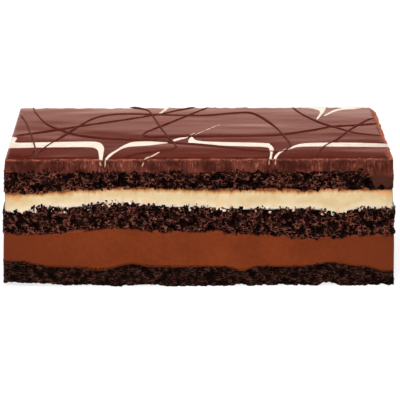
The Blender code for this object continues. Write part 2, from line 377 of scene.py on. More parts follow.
def scatter(piece, name, count, small, large, seed, stray, tone, wanted=lambda face: True):
    """A joined mesh of crumbs half sunk in the sides of a piece, squatter on its two ends.

    They are small to large across, lie up to stray above or below their faces, and each has a
    stand of its own about a tone.
    """
    rng = random.Random(seed)
    shapes = crumb_shapes(CRUMB_KINDS)
    sides = [face for face in piece.data.polygons
             if abs(face.normal.z) < STEEP
             and (abs(face.center.x) > NEAR_END or abs(face.center.y) > NEAR_SIDE)
             and wanted(face)]
    chosen = rng.choices(sides, weights=[face.area for face in sides], k=count)
    points, faces, stands = [], [], []
    for face in chosen:
        shape, shape_faces = rng.choice(shapes)
        endwise = abs(face.normal.x)
        width = small + (large - small) * rng.random() ** 2.0
        size = Matrix.Diagonal((width * rng.uniform(0.8, 1.9) * (1 - 0.4 * endwise),
                                width * rng.uniform(0.6, 1.0), width * rng.uniform(0.5, 0.9)))
        turn = Euler([rng.uniform(0, math.tau) for axis in range(3)]).to_matrix() @ size
        sunk = rng.uniform(-0.45, 0.0) - 0.4 * endwise
        outward = face.normal.copy()
        if abs(face.center.x) > NEAR_END:
            outward.x = math.copysign(outward.x, face.center.x)
        middle = face.center + outward * width * sunk
        middle.z += rng.uniform(-stray, stray) * (1 - 0.6 * endwise)
        start = len(points)
        points += [middle + turn @ point for point in shape]
        faces += [tuple(start + index for index in corners) for corners in shape_faces]
        stands += [tone + rng.uniform(-1.0, 1.0)] * len(shape)
    mesh = bpy.data.meshes.new(name)
    mesh.from_pydata(points, [], faces)
    crumbs = bpy.data.objects.new(name, mesh)
    bpy.context.scene.collection.objects.link(crumbs)
    note(crumbs, "stand", stands)
    return crumbs


def serve_crumbs(crumbs, finish, slot):
    """Ends a mesh of crumbs, which have the finish of the sponge that they came off."""
    crumbs.data.materials.append(finish[0])
    serve(crumbs, slot, smooth=False)


def ramp(value, start, end):
    """0 up to a start and 1 from an end, straight between; the end may be the lower one."""
    return max(0.0, min(1.0, (value - start) / (end - start)))


base = cut_layer("base_sponge", "base_sponge_crumb", cuts=8, reach_up=0.2 * MM, reach_down=0)
# Low arches in the lower edge of the long sides, as (centre, half width, rise) in millimetres.
FOOT_WAVES = ((-98, 14, 1.2), (-34, 14, 1.4), (26, 5, 0.9), (82, 5, 1.2))
FOOT_HIGH = 4 * MM
# No grain lies lower than this many millimetres above the base's lower rim.
FOOT_BARE = 1.5
for point in base.data.vertices:
    low = max(0.0, 1 - point.co.z / FOOT_HIGH)
    outer = ramp(abs(point.co.y) / MM, 52, 56)
    for centre, half_width, rise in FOOT_WAVES:
        wave = max(0.0, 1 - ((point.co.x / MM - centre) / half_width) ** 2)
        point.co.z += rise * wave * low * outer * MM
above_table = tear(base, hollow=5.0 * MM, deep=1.0 * MM, cell=2.0 * MM, rough=0.45 * MM)[1]
# The dark colour is painted shade in the hollows; the light one is painted highlight on walls and
# lumps, and the paleness of some loose crumbs.
base_finish_and_shade = crumb_finish_and_shade("moist_base", dark=paint(8, 3, 2), middle=paint(44, 22, 17),
                           light=paint(104, 64, 52), gloss=0.08, wide=4.5, high=1.2)
dress(base, *base_finish_and_shade, lift=0.25 * MM)
serve(base, "dense_base", "base_sponge")

base_grains = scatter(
    base, "base_sponge_grains", count=1500, small=0.6 * MM, large=1.8 * MM, seed=11,
    stray=0.4 * MM, tone=-0.1, wanted=lambda face: above_table[face.vertices[0]] > FOOT_BARE)
serve_crumbs(base_grains, base_finish_and_shade, "dense_base")

# Chocolate mousse
# Whipped milk chocolate mousse was poured on the base and set firm. The knife left its sides
# smooth, with only a faint mottling and the finest of pores.

mousse = cut_layer("chocolate_mousse", "chocolate_mousse_set", cuts=5, reach_up=0.7 * MM,
                   reach_down=0.7 * MM)
above_base = from_rim(mousse, -1)
carve(mousse, "CLOUDS", size=12 * MM, depth=0.5 * MM, noise_depth=2)
carve(mousse, "CLOUDS", size=2.5 * MM, depth=0.12 * MM)
material, shader, place = new_finish("set_mousse", Specular_IOR_Level=0.1)
drift = place.clouds(22 * MM)
mottle = place.clouds(3 * MM)
pores = place.clouds(0.7 * MM)
shade = (drift * 0.7 + mottle * 0.5 - 0.1).step(0.2, 0.8)
colour = shade.blend(paint(118, 50, 20), paint(142, 63, 28))
# Painted shade: the mousse is painted darker towards both ends, where less light falls.
ends = abs(place.part(0)).step(60 * MM, 120 * MM)
colour = (ends * 0.7).blend(colour, paint(116, 49, 22))
dress(mousse, material, shader, colour, roughness=0.6, height=mottle + pores * 0.3,
      lift=0.15 * MM)
serve(mousse, "mousse", "chocolate_mousse")


def at_base(face):
    """Whether the knife may have dragged a grain of the base up to here on the mousse."""
    return above_base[face.vertices[0]] < 1.2 + noise.noise(face.center / (7 * MM))


mousse_grains = scatter(
    mousse, "mousse_edge_grains", count=900, small=0.4 * MM, large=1.3 * MM, seed=21,
    stray=0.4 * MM, tone=1.0, wanted=at_base)
serve_crumbs(mousse_grains, base_finish_and_shade, "dense_base")

# Middle sponge
# An open, crumbly chocolate sponge lies on the mousse. The knife tore crumbs from its sides, so
# they are all lumps and dark hollows, and the upper edge breaks up into the cream.

# How far in from the upper and the lower rim their own crumbs lie, in millimetres.
UPPER_RIM = 0.8
LOWER_RIM = 0.5
middle = cut_layer("middle_sponge", "middle_sponge_crumb", cuts=8, reach_up=0,
                   reach_down=0.2 * MM)
below_cream, above_mousse = tear(middle, hollow=5.0 * MM, deep=2.0 * MM, cell=1.9 * MM,
                                 rough=0.9 * MM)
# The dark colour is painted shade in the hollows; the light one is painted highlight on walls and
# lumps, and the paleness of some loose crumbs.
sponge_finish_and_shade = crumb_finish_and_shade("open_sponge", dark=paint(4, 1, 1), middle=paint(48, 22, 17),
                             light=paint(158, 92, 74), gloss=0.08, wide=3.2, high=2.0)
dress(middle, *sponge_finish_and_shade, lift=0.3 * MM)
serve(middle, "sponge", "middle_sponge")

middle_crumbs = scatter(
    middle, "middle_sponge_crumbs", count=3400, small=0.9 * MM, large=3.2 * MM, seed=12,
    stray=0.6 * MM, tone=-0.3)
serve_crumbs(middle_crumbs, sponge_finish_and_shade, "sponge")

middle_rims = scatter(
    middle, "middle_sponge_rim_crumbs", count=1900, small=0.8 * MM, large=2.6 * MM, seed=22,
    stray=2.0 * MM, tone=-0.3, wanted=lambda face: below_cream[face.vertices[0]] < UPPER_RIM)
serve_crumbs(middle_rims, sponge_finish_and_shade, "sponge")

lower_rims = scatter(
    middle, "middle_sponge_lower_crumbs", count=900, small=0.7 * MM, large=1.9 * MM, seed=24,
    stray=0.9 * MM, tone=-0.1, wanted=lambda face: above_mousse[face.vertices[0]] < LOWER_RIM)
serve_crumbs(lower_rims, sponge_finish_and_shade, "sponge")

# Vanilla cream
# A soft, pale vanilla mousse was spread between the two sponges. It was smeared a little by the
# knife, and is stained where the wet crumb above it bled down.

cream = cut_layer("vanilla_cream", "vanilla_cream_set", cuts=5, reach_up=0.8 * MM,
                  reach_down=0.9 * MM)
above_middle = from_rim(cream, -1)
note(cream, "drop", from_rim(cream, 1))
note(cream, "rise", above_middle)
carve(cream, "CLOUDS", size=8 * MM, depth=0.5 * MM, noise_depth=2)
carve(cream, "CLOUDS", size=2 * MM, depth=0.15 * MM)
material, shader, place = new_finish("vanilla_mousse", Specular_IOR_Level=0.15)
drop = place.noted("drop")
rise = place.noted("rise")
drift = place.clouds(9 * MM)
column = place.stretched(1, 1, 6).clouds(4 * MM)
drip = place.stretched(1, 1, 3).clouds(2 * MM)
patch = place.clouds(14 * MM, detail=2.0)
colour = drift.step(0.3, 0.7).blend(paint(233, 201, 150), paint(243, 218, 172))
colour = rise.step(6.0, 1.0).blend(colour, paint(252, 232, 200))
soak = column.step(0.48, 0.7) * (drop - 6.0 * patch).step(4.0, -1.5)
colour = (soak * 0.8).blend(colour, paint(222, 168, 108))
corner = abs(place.part(0)).step(104 * MM, 119 * MM) * (drop - 5.0 * column).step(5.0, 0.0)
spill = (patch + column).step(0.98, 1.16) * rise.step(6.0, 2.5)
colour = (corner * 0.75).most(spill * 0.3).blend(colour, paint(240, 164, 84))
bleed = drop - 3.2 * drip - 3.6 * patch
colour = bleed.step(0.2, -1.8).blend(colour, paint(214, 152, 94))
colour = bleed.step(-1.4, -2.8).blend(colour, paint(140, 76, 38))
edge = (rise + 3.0 * drip - 2.0 * patch).step(2.6, 1.0)
colour = (edge * 0.8).blend(colour, paint(252, 236, 220))
dress(cream, material, shader, colour, roughness=0.5, height=place.clouds(1.2 * MM),
      lift=0.12 * MM)
serve(cream, "cream", "vanilla_cream")


def at_middle(face):
    """Whether a crumb of the middle sponge may stand up to here on the cream."""
    return above_middle[face.vertices[0]] < 0.1 + 2.8 * noise.noise(face.center / (4 * MM))


def smeared_over(face):
    """Whether the knife may have drawn a fleck of the cream down to here on the middle sponge."""
    below = below_cream[face.vertices[0]]
    long_smear = -96 < face.center.x / MM < -58 and face.center.y < 0
    reach = 6.5 if long_smear else 3.0
    return below < reach * (0.5 + noise.noise(face.center / (6 * MM)))


cream_crumbs = scatter(
    cream, "cream_edge_crumbs", count=750, small=0.7 * MM, large=2.2 * MM, seed=26,
    stray=0.4 * MM, tone=-0.3, wanted=at_middle)
serve_crumbs(cream_crumbs, sponge_finish_and_shade, "sponge")

flecks = scatter(
    middle, "cream_flecks", count=800, small=0.7 * MM, large=2.6 * MM, seed=41,
    stray=0.5 * MM, tone=0.2, wanted=smeared_over)
material, shader, place = new_finish("vanilla_fleck", Specular_IOR_Level=0.15)
tint = place.clouds(1.5 * MM)
colour = tint.step(0.3, 0.7).blend(paint(236, 206, 172), paint(255, 240, 226))
dress(flecks, material, shader, colour, roughness=0.5, height=tint, lift=0.1 * MM)
serve(flecks, "cream", smooth=False)

# Top sponge
# A second sheet of the open sponge was laid on the cream, under the ganache. Its sides are torn
# in the same way as the middle one's, save at the front corner where the ganache covers them.

CURTAIN_START_X = 105 * MM
CURTAIN_START_Y = -46 * MM
upper = cut_layer("top_sponge", "top_sponge_crumb", cuts=8, reach_up=0, reach_down=0)
below_ganache, above_cream = tear(upper, hollow=4.5 * MM, deep=2.0 * MM, cell=1.8 * MM,
                                  rough=0.9 * MM)
upper.data.materials.append(sponge_finish_and_shade[0])
serve(upper, "sponge", "top_sponge")


def uncovered(face):
    """Whether a face lies clear of the corner where the ganache ran down over the sponge."""
    return not (face.center.x > CURTAIN_START_X and face.center.y < CURTAIN_START_Y)


def at_rims(face):
    """Whether a face lies at the upper or the lower rim of the sponge, and isn't covered."""
    spot = face.vertices[0]
    return uncovered(face) and min(below_ganache[spot], above_cream[spot]) < UPPER_RIM


upper_crumbs = scatter(
    upper, "top_sponge_crumbs", count=2600, small=0.9 * MM, large=3.2 * MM, seed=13,
    stray=0.6 * MM, tone=-0.3, wanted=uncovered)
serve_crumbs(upper_crumbs, sponge_finish_and_shade, "sponge")

upper_rims = scatter(
    upper, "top_sponge_rim_crumbs", count=1700, small=0.8 * MM, large=2.2 * MM, seed=23,
    stray=1.1 * MM, tone=-0.3, wanted=at_rims)
serve_crumbs(upper_rims, sponge_finish_and_shade, "sponge")

# Ganache
# Dark chocolate ganache was poured over the top sponge and spread lengthwise with a palette
# knife, which left long low ripples; the colour of the top has streaks along them that are partly
# painted sheen, and a band of painted shade behind the front edge. Its sides were cut once it had
# set, so they are matt and drawn down by the knife, with a ragged lip that is painted pale as a
# highlight.

TOP = 84.5 * MM
low_corner, high_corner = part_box("ganache")
SIDE_X = (high_corner[0] - low_corner[0]) / 2 - 1.0 * MM
SIDE_Y = (high_corner[1] - low_corner[1]) / 2 - 0.5 * MM
# The rounded edge, as (outward, down) in millimetres, then the rows of the cut side below it.
ROUND = ((0.0, 0.0), (0.7, 0.04), (1.3, 0.16), (1.8, 0.42), (2.1, 0.8))
ROW = 0.72
ROWS = 11
FLARE = 0.06
SKIRT = ROWS * ROW * MM
# How far the underside is drawn down and in from the last row, out of sight in the sponge.
TUCK = 4.0 * MM
CORNER_BEVEL = 0.9 * MM
# The curtain at the front corner: how far it hangs, in millimetres, and stands out.
CURTAIN_DOWN = 10.5
CURTAIN_OUT = 1.3 * MM
HEM_RAGGED = 2.4
RIM_WIDE = 2.6 * MM
RIM_SAG = 0.9 * MM
BACK_CORNER_CUT = 3.2 * MM


def order_parts(piece):
    """Puts a piece's edges and faces in one set order, in edit mode; extrude leaves any order."""
    shape = bmesh.from_edit_mesh(piece.data)
    shape.verts.index_update()
    count = len(shape.verts)

    def rank(part):
        first, second, *others = sorted(point.index for point in part.verts)
        third = others[0] if others else 0
        return (first * count + second) * count + third

    shape.edges.sort(key=rank)
    shape.faces.sort(key=rank)
    bmesh.update_edit_mesh(piece.data)


bpy.ops.mesh.primitive_grid_add(x_subdivisions=216, y_subdivisions=104, size=1)
ganache = bpy.context.object
ganache.name = "ganache_pour"
inner_x = SIDE_X - ROUND[-1][0] * MM
inner_y = SIDE_Y - ROUND[-1][0] * MM
for point in ganache.data.vertices:
    point.co = (point.co.x * 2 * inner_x, point.co.y * 2 * inner_y, TOP)
bpy.context.tool_settings.mesh_select_mode = (True, False, False)
bpy.ops.object.mode_set(mode="EDIT")
bpy.ops.mesh.select_all(action="DESELECT")
shape = bmesh.from_edit_mesh(ganache.data)
for point in shape.verts:
    if abs(point.co.x) > inner_x - 0.1 * MM and abs(point.co.y) > inner_y - 0.1 * MM:
        point.select_set(True)
bmesh.update_edit_mesh(ganache.data)
bpy.ops.mesh.bevel(offset=CORNER_BEVEL, segments=2, affect="VERTICES")
bpy.context.tool_settings.mesh_select_mode = (False, True, False)
bpy.ops.mesh.select_all(action="SELECT")
bpy.ops.mesh.region_to_loop()
profile = list(ROUND)
profile += [(ROUND[-1][0] + FLARE * row, ROUND[-1][1] + ROW * row) for row in range(1, ROWS + 1)]
for (before_out, before_down), (out, down) in zip(profile, profile[1:]):
    bpy.ops.mesh.extrude_region_move(
        TRANSFORM_OT_translate={"value": (0, 0, (before_down - down) * MM)})
    bpy.ops.transform.resize(value=((inner_x + out * MM) / (inner_x + before_out * MM),
                                    (inner_y + out * MM) / (inner_y + before_out * MM), 1),
                             center_override=(0, 0, TOP))
bpy.ops.mesh.extrude_region_move(TRANSFORM_OT_translate={"value": (0, 0, TUCK)})
bpy.ops.transform.resize(value=(1 - 2 * TUCK / inner_x, 1 - 2 * TUCK / inner_y, 1),
                         center_override=(0, 0, TOP))
bpy.ops.mesh.edge_face_add()
order_parts(ganache)
bpy.context.tool_settings.mesh_select_mode = (False, False, True)
pick_faces(ganache, lambda face: len(face.verts) < 9 and not (
    abs(face.calc_center_median().x) < inner_x and abs(face.calc_center_median().y) < inner_y))
bpy.ops.mesh.subdivide(number_cuts=1)
bpy.ops.mesh.select_all(action="SELECT")
bpy.ops.mesh.normals_make_consistent(inside=False)
bpy.ops.object.mode_set(mode="OBJECT")


def at_lip(place, depth):
    """1 on the ragged upper edge of the cut down to a depth, and less away from it."""
    end = (SIDE_X - abs(place.x)) / MM
    edge = (SIDE_Y - abs(place.y)) / MM
    if place.x > 0 or (edge < 1.2 and place.y < 0):
        strength = 1.0
    elif edge < 1.2:
        strength = 0.7
    else:
        strength = 0.35
    end_width = 4.0 if place.x > 0 else 2.0
    inside = min(end / end_width, edge)
    below = max((TOP - place.z) / MM - depth, 0) / (1.2 * depth)
    return strength * max(0.0, 1 - max(inside - 0.5, 0) / 0.6 - below)


def at_corner(place):
    """1 at the front corner where the ganache ran down over the sponge, and 0 away from it."""
    return ramp(place.x / MM, 105.5, 110.5) * ramp(place.y / MM, -50, -54)


def hem(place):
    """How much farther than elsewhere the ganache reaches down the cut side, in millimetres."""
    fine = HEM_RAGGED * noise.noise(place / (3.5 * MM))
    broad = HEM_RAGGED * noise.noise(place / (10 * MM))
    curtain = CURTAIN_DOWN * at_corner(place) * (1 + 0.2 * noise.noise(place / (4 * MM)))
    return fine + broad + curtain


def at_side(place):
    """1 on the cut sides, and 0 on the top."""
    return ramp((TOP - place.z) / MM, 0.5, 1.5)


for point in ganache.data.vertices:
    share = min(1.0, max(0.0, (TOP - point.co.z - 1.5 * MM) / SKIRT))
    outer = SIDE_X - abs(point.co.x) < 2 * MM or SIDE_Y - abs(point.co.y) < 2 * MM
    if share > 0 and outer:
        rim = Vector((point.co.x, point.co.y, 0))
        point.co.z -= share * hem(rim) * MM
        point.co.y -= share * at_corner(rim) * CURTAIN_OUT
    rim_share = max(0.0, 1 - (SIDE_Y - abs(point.co.y)) / RIM_WIDE)
    sag = max(0.0, 0.25 + 1.3 * noise.noise(Vector((point.co.x / (7 * MM), point.co.y, 0))))
    point.co.z -= rim_share * sag * RIM_SAG * (1 - share)
    if point.co.x > 100 * MM:
        far = ramp(point.co.y / MM, 44, 58)
        point.co.x -= BACK_CORNER_CUT * far ** 2 * (point.co.x / MM - 100) / 20

mark(ganache, "lip", lambda place, normal: at_lip(place, 1.4))
mark(ganache, "side", lambda place, normal: at_side(place))
mark(ganache, "top", lambda place, normal: 1 - at_side(place))
note(ganache, "lip_share", [at_lip(point.co, 0.7) for point in ganache.data.vertices])
note(ganache, "side_share", [at_side(point.co) for point in ganache.data.vertices])
# Low ripples and swells along the top, scrapes down the sides, and the ragged lip.
carve(ganache, "CLOUDS", size=8 * MM, depth=0.15 * MM, direction="Z", group="top",
      stretch=(4, 1, 1), noise_depth=0)
carve(ganache, "CLOUDS", size=24 * MM, depth=0.35 * MM, direction="Z", group="top",
      stretch=(2, 1, 1), noise_depth=0)
carve(ganache, "CLOUDS", size=1.6 * MM, depth=0.22 * MM, group="side", stretch=(1, 1, 4),
      noise_depth=2)
carve(ganache, "CLOUDS", size=5 * MM, depth=0.6 * MM, group="side")
carve(ganache, "CLOUDS", size=2.5 * MM, depth=1.3 * MM, direction="RGB_TO_XYZ", group="lip",
      cloud_type="COLOR")

material, shader, place = new_finish("poured_ganache", Specular_IOR_Level=0.2,
                                     Specular_Tint=(1.0, 0.7, 0.6, 1))
side = place.noted("side_share")
lip = place.noted("lip_share")
ripple_and_sheen = place.stretched(9, 1, 1).clouds(5 * MM, detail=2.0)
smear = place.stretched(1, 1, 4).clouds(1.8 * MM)
scrape = place.stretched(1, 1, 7).clouds(0.9 * MM, detail=2.0)
chips = place.clouds(1.3 * MM, detail=2.0)
patch = place.clouds(9 * MM, detail=2.0)
down = (TOP - place.part(2)) / MM
# Streaks of colour along the knife's ripples: partly painted sheen, where the ripples would catch
# the light, and partly the ganache's own tone.
top_colour = ripple_and_sheen.step(0.3, 0.7).blend(paint(82, 27, 16), paint(100, 39, 28))
# Painted shade: the top is painted darker in a band just behind the front edge, where it would
# reflect less light.
front_shade_band = place.part(1).step(-51.5 * MM, -55.5 * MM)
top_colour = (front_shade_band * 0.7).blend(top_colour, paint(78, 24, 13))
cut = (smear * 0.4 + patch * 0.6).step(0.37, 0.63).blend(paint(64, 20, 11), paint(112, 52, 39))
streaks = scrape.step(0.5, 0.72) * (down * 0.13 - 1.2 + chips).step(1.0, -0.4)
streaky = patch.step(0.35, 0.65) * place.part(0).step(-100 * MM, -75 * MM)
cut = (streaks * streaky).blend(cut, paint(176, 104, 84))
curtain = place.part(2).step(74.5 * MM, 72 * MM)
cut = curtain.blend(cut, paint(70, 34, 24))
# Painted highlight: the ragged lip at the top of the cut is painted pale, as if it caught the light.
lip_highlight = (lip + chips * 1.4 + patch).step(1.85, 2.35)
cut = lip_highlight.blend(cut, paint(172, 94, 68))
colour = side.most(lip * 0.9).blend(top_colour, cut)
dress(ganache, material, shader, colour, roughness=0.14 + 0.46 * side.most(lip),
      height=(chips + scrape * 0.8) * side, lift=0.5 * MM)
serve(ganache, "ganache", "ganache")


def dragged_to(face):
    """Whether the knife may have dragged a crumb of the top sponge up to here on the ganache."""
    reach = 76.3 + 3.2 * noise.noise(face.center / (11 * MM))
    return uncovered(face) and face.center.z / MM < reach


def under_lip(face):
    """Whether a face lies in the ragged lip, which is shallower along the front."""
    drop = (0.4 if face.center.y < 0 else 1.4) * MM
    return TOP - 1.8 * MM < face.center.z < TOP - drop


dragged = scatter(
    ganache, "dragged_crumbs", count=1200, small=0.8 * MM, large=2.1 * MM, seed=25,
    stray=0.5 * MM, tone=-0.3, wanted=dragged_to)
serve_crumbs(dragged, sponge_finish_and_shade, "sponge")

flakes = scatter(
    ganache, "ganache_flakes", count=600, small=0.5 * MM, large=1.6 * MM, seed=31,
    stray=0.3 * MM, tone=0.2, wanted=under_lip)
material, shader, place = new_finish("ganache_flake", Specular_IOR_Level=0.15)
grain = place.clouds(0.8 * MM, detail=2.0)
tone = place.noted("stand") + (grain - 0.5) * 2.0
colour = tone.step(-1.2, 1.8).blend(paint(74, 28, 18), paint(176, 100, 78))
dress(flakes, material, shader, colour, roughness=0.5, height=grain, lift=0.2 * MM)
serve(flakes, "ganache", smooth=False)

# Drizzle
# Fine threads of the same chocolate, squeezed from a piping bag in loose swings once the
# ganache had set, so that they stand on it as low glossy ridges.

# The threads' routes over the top, as (along, back) in millimetres from its middle.
THREADS = (
    ((-112, 58), (-109, 44), (-100, 19), (-89, 4), (-79, -6), (-63, -13), (-44, -17), (-29, -19),
     (-13, -25), (0, -28), (14, -33), (34, -41), (47, -44), (53, -43), (59, -34)),
    ((-101, -56), (-101, -45), (-96, -30), (-88, -10), (-79, 12), (-71, 29), (-61, 39), (-46, 42),
     (-27, 40), (3, 38), (22, 43), (34, 45), (40, 39), (45, 28), (51, 10), (57, -18), (59, -34)),
    ((-118, -8), (-103, 0), (-88, 8), (-71, 17), (-53, 26), (-40, 33), (-24, 42), (-14, 50),
     (-2, 58)),
    ((-119, 40), (-114, 22), (-109, -3), (-105, -26), (-102, -47), (-102, -56)),
    ((-117, -51), (-107, -52), (-104, -39)),
    ((-46, 58), (-41, 57), (-34, 51), (-31, 41), (-26, 17), (-20, -10), (-15, -28), (-15, -36),
     (-19, -39), (-38, -47), (-48, -56)),
    ((7, 57), (-3, 43), (-15, 26), (-28, 8), (-35, -3), (-35, -9), (-30, -11), (-1, -10),
     (32, -10), (50, -8), (73, 2), (88, 11), (104, 14), (118.3, 17.5)),
    ((65, 57), (70, 41), (80, 22), (92, 7), (104, -5), (118.5, -10.5)),
    ((72, -56), (79, -35), (89, -18), (98, 1), (108, 18), (113, 26), (118, 30)),
)
THREAD_RADIUS = 0.62 * MM
THREAD_STEP = 1.6 * MM
THREAD_PROUD = 0.1 * MM


def smooth_route(route, step):
    """Points about a step apart on a smooth curve through a route's points in millimetres."""
    points = [Vector(point) * MM for point in route]
    ends = [points[0] * 2 - points[1], *points, points[-1] * 2 - points[-2]]
    made = []
    for before, start, end, after in zip(ends, ends[1:], ends[2:], ends[3:]):
        count = max(1, round((end - start).length / step))
        for index in range(count):
            t = index / count
            made.append(0.5 * (2 * start + (end - before) * t
                               + (2 * before - 5 * start + 4 * end - after) * t ** 2
                               + (3 * start - before - 3 * end + after) * t ** 3))
    return made + [points[-1]]


def lay_thread(name, route, radius, unevenness):
    """A thread of chocolate along a route, thinner at both ends and uneven between them."""
    curve = bpy.data.curves.new(name, "CURVE")
    curve.dimensions = "3D"
    curve.bevel_depth = radius
    curve.bevel_resolution = 2
    curve.use_fill_caps = True
    spline = curve.splines.new("POLY")
    spline.points.add(len(route) - 1)
    for index, (point, spot) in enumerate(zip(spline.points, route)):
        point.co = (*spot, 1.0)
        near_end = min(index, len(route) - 1 - index)
        wave = 1 + unevenness * noise.noise(Vector(spot) / (6 * MM))
        point.radius = wave * min(1.0, 0.35 + 0.35 * near_end)
    made = bpy.data.objects.new(name, curve)
    bpy.context.scene.collection.objects.link(made)
    make_active(made)
    bpy.ops.object.convert(target="MESH")
    return bpy.context.object


def join(pieces, name):
    """Joins pieces into one, under a name."""
    make_active(pieces[0])
    for piece in pieces:
        piece.select_set(True)
    bpy.ops.object.join()
    bpy.context.object.name = name
    return bpy.context.object


threads = []
for number, route in enumerate(THREADS):
    lifted = [(spot.x, spot.y, TOP + THREAD_PROUD) for spot in smooth_route(route, THREAD_STEP)]
    threads.append(lay_thread(f"thread_{number}", lifted, THREAD_RADIUS, unevenness=0.25))
drizzle = join(threads, "drizzle_threads")
material, shader, place = new_finish("drizzled_chocolate", Specular_IOR_Level=0.04,
                                     Specular_Tint=(1.0, 0.7, 0.6, 1))
grain = place.clouds(2 * MM)
colour = grain.step(0.2, 0.8).blend(paint(76, 34, 27), paint(92, 44, 36))
dress(drizzle, material, shader, colour, roughness=0.5, height=grain, lift=0.05 * MM)
serve(drizzle, "ganache")

# White chocolate feathering
# White chocolate was piped in lines on the wet ganache and drawn through with a skewer, which
# pulled it into hooked strokes. They set flush with it, with soft edges.

# Each stroke's back edge and front edge, as (along, back) in millimetres from the top's middle.
FEATHERS = {
    "white_feather_1": (
        ((-126, -11), (-118.5, -11.5), (-117, -14), (-117.5, -20), (-115, -23.5), (-93, -22.5),
         (-75, -21.5), (-66.5, -22), (-63, -24.5), (-61, -30), (-60, -38), (-60.2, -62)),
        ((-126, -35), (-108.5, -34), (-86, -33), (-70, -33), (-66, -35), (-64, -39), (-63, -45),
         (-61.8, -62))),
    "white_feather_2": (
        ((-59.2, -62), (-56, -48.5), (-52.6, -41), (-49.3, -33.5), (-46, -27.2), (-41.5, -22.6),
         (-32, -21.5), (-20, -23.8)),
        ((-58, -62), (-54, -49), (-51, -41.5), (-47.5, -35), (-43, -32), (-32, -29.5),
         (-20, -24.6))),
    "white_feather_3": (
        ((-17, -19), (-13, -14.5), (-7.5, -12)),
        ((-15.5, -20.5), (-11.5, -17.5), (-7, -13))),
    "white_feather_4": (
        ((-6.5, -23.5), (-6.5, -19.5), (-5.5, -14.5), (-4, -12), (-2, -18.5), (2, -21.5),
         (14.5, -23.5), (42, -26), (45.5, -29.5), (47.3, -38), (46, -48), (44.7, -62)),
        ((-6, -24.5), (2.5, -28.2), (20, -31), (42, -34), (44.6, -40), (44.5, -51), (43.2, -62))),
    "white_feather_5": (
        ((45.7, -62), (48, -51), (52.5, -41.5), (57.5, -35.5), (65, -28), (74, -26), (100, -26),
         (130, -30)),
        ((47, -62), (50, -50), (53.5, -43), (58.5, -38), (66, -33.5), (94, -33.5), (130, -35))),
    "white_feather_6": (
        ((71, 64), (89, 64), (87.5, 55), (85, 44), (80, 28)),
        ((69, 57), (78, 54), (82.5, 49), (82.5, 42), (79.2, 28.5))),
    "white_feather_7": (
        ((114, 58), (112, 64), (104, 64), (98, 54.5), (92.5, 50), (88.5, 43), (84.5, 36)),
        ((113.8, 56.5), (107, 52.8), (101.5, 52), (97, 50), (92.3, 45.5), (88.2, 40), (85.2, 35.2))),
    "white_feather_8": (
        ((-19, 64), (-24, 49), (-26, 43.5)),
        ((-17, 64), (-22, 49), (-25, 43))),
}
FEATHER_STEP = 1.5 * MM
FEATHER_PROUD = 0.2 * MM
FEATHER_EDGE = 0.2 * MM
FEATHER_THICK = 1.2 * MM
FEATHER_SHORT = 0.3 * MM


def pipe_stroke(name, back, front):
    """A flat stroke with rounded edges between two routes, trimmed by the cut sides."""
    curve = bpy.data.curves.new(name, "CURVE")
    curve.dimensions = "2D"
    curve.fill_mode = "BOTH"
    curve.extrude = FEATHER_THICK / 2 - FEATHER_EDGE
    curve.bevel_depth = FEATHER_EDGE
    curve.bevel_resolution = 2
    curve.offset = -FEATHER_EDGE / 2
    outline = smooth_route(back, FEATHER_STEP) + smooth_route(front, FEATHER_STEP)[::-1]
    spline = curve.splines.new("POLY")
    spline.points.add(len(outline) - 1)
    for point, spot in zip(spline.points, outline):
        point.co = (*spot, 0, 1)
    spline.use_cyclic_u = True
    stroke = bpy.data.objects.new(name, curve)
    bpy.context.scene.collection.objects.link(stroke)
    make_active(stroke)
    bpy.ops.object.convert(target="MESH")
    stroke = bpy.context.object
    bpy.ops.object.mode_set(mode="EDIT")
    bpy.ops.mesh.select_all(action="SELECT")
    bpy.ops.mesh.remove_doubles(threshold=0.01 * MM)
    bpy.ops.transform.translate(value=(0, 0, TOP + FEATHER_PROUD - FEATHER_THICK / 2))
    for axis, reach in ((0, SIDE_X - FEATHER_SHORT), (1, SIDE_Y - FEATHER_SHORT)):
        for sign in (-1, 1):
            normal = [0, 0, 0]
            normal[axis] = sign
            bpy.ops.mesh.select_all(action="SELECT")
            bpy.ops.mesh.bisect(plane_co=[reach * part for part in normal], plane_no=normal,
                                clear_outer=True, use_fill=True)
    bpy.ops.mesh.select_all(action="SELECT")
    bpy.ops.mesh.normals_make_consistent(inside=False)
    bpy.ops.object.mode_set(mode="OBJECT")
    return stroke


material, shader, place = new_finish("white_chocolate_set", Specular_IOR_Level=0.15)
drift = place.clouds(6 * MM)
colour = drift.step(0.3, 0.7).blend(paint(224, 209, 193), paint(233, 221, 207))
strokes = [pipe_stroke(f"{name}_set", back, front) for name, (back, front) in FEATHERS.items()]
dress(strokes[0], material, shader, colour, roughness=0.35, height=drift, lift=0.1 * MM)
for stroke in strokes[1:]:
    stroke.data.materials.append(material)
for name, stroke in zip(FEATHERS, strokes):
    serve(stroke, "white_chocolate", name)

# Trails of white chocolate
# Where the skewer lifted it left hair-thin trails of white chocolate, and the knife that cut the
# cake wiped a little of the strokes down over the front.

